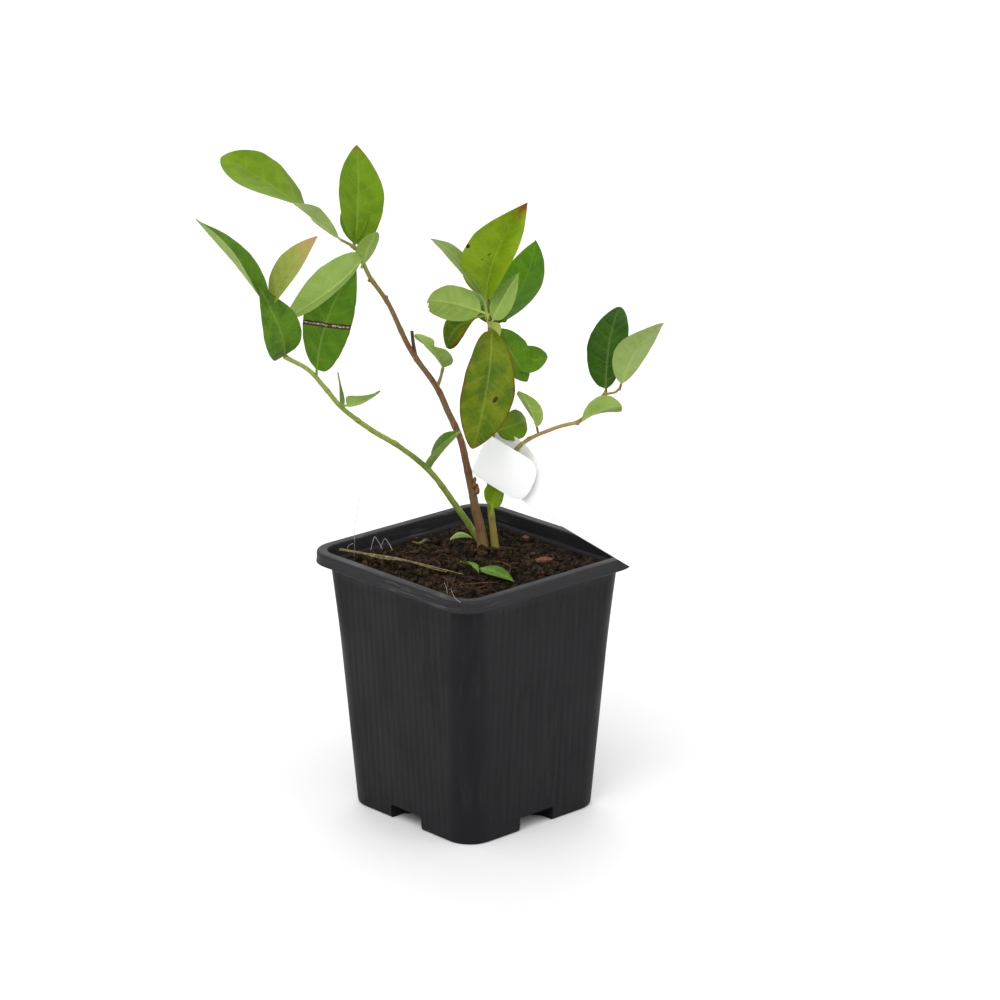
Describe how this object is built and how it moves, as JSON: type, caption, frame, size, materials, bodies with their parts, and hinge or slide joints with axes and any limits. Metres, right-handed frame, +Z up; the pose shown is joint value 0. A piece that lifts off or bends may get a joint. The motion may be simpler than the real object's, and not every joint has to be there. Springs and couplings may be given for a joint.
{
  "type": "young blueberry bush in a square nursery pot",
  "caption": "Young blueberry bush with slender leafy shoots in a square black nursery pot of compost, with a blank white loop label resting over the rim.",
  "frame": {"origin": "middle of the pot's flat underside, at the level it stands on", "axes": "+Z up; X and Y along the sides of the square pot; the label runs out over the rim between +X and -Y"},
  "size_m": [0.165, 0.2264, 0.2448],
  "materials": {
    "pot_plastic": "thin black moulded plastic, satin, with fine upright ribs",
    "compost": "dark moist peat and bark mix with chips and fibres",
    "bark": "smooth young brown bark with buds",
    "green_shoot": "green to olive young shoot",
    "leaf": "green leaf, darker and smoother above, paler below, some with red margins",
    "label_plastic": "blank white plastic strip, satin"
  },
  "bodies": {
    "root": {"pot": "pot_plastic", "soil": "compost", "stem_main": "bark", "stem_left": "green_shoot", "stem_middle": "green_shoot", "stem_right": "green_shoot", "foliage_base": "leaf", "foliage_crown_back": "leaf", "foliage_crown_left": "leaf", "foliage_crown_right": "leaf", "foliage_crown_tall": "leaf", "foliage_front": "leaf", "foliage_front_side": "leaf", "foliage_inner_low": "leaf", "foliage_inner_right": "leaf", "foliage_left_long": "leaf", "foliage_left_narrow": "leaf", "foliage_left_small": "leaf", "foliage_left_tip": "leaf", "foliage_left_upright": "leaf", "foliage_low_left": "leaf", "foliage_main_side": "leaf", "foliage_right_back": "leaf", "foliage_right_front": "leaf", "foliage_right_low": "leaf", "foliage_top_front": "leaf", "foliage_top_long": "leaf", "foliage_top_upright": "leaf", "label_arm": "label_plastic", "label_loop": "label_plastic", "label_end": "label_plastic"}
  },
  "joints": []
}
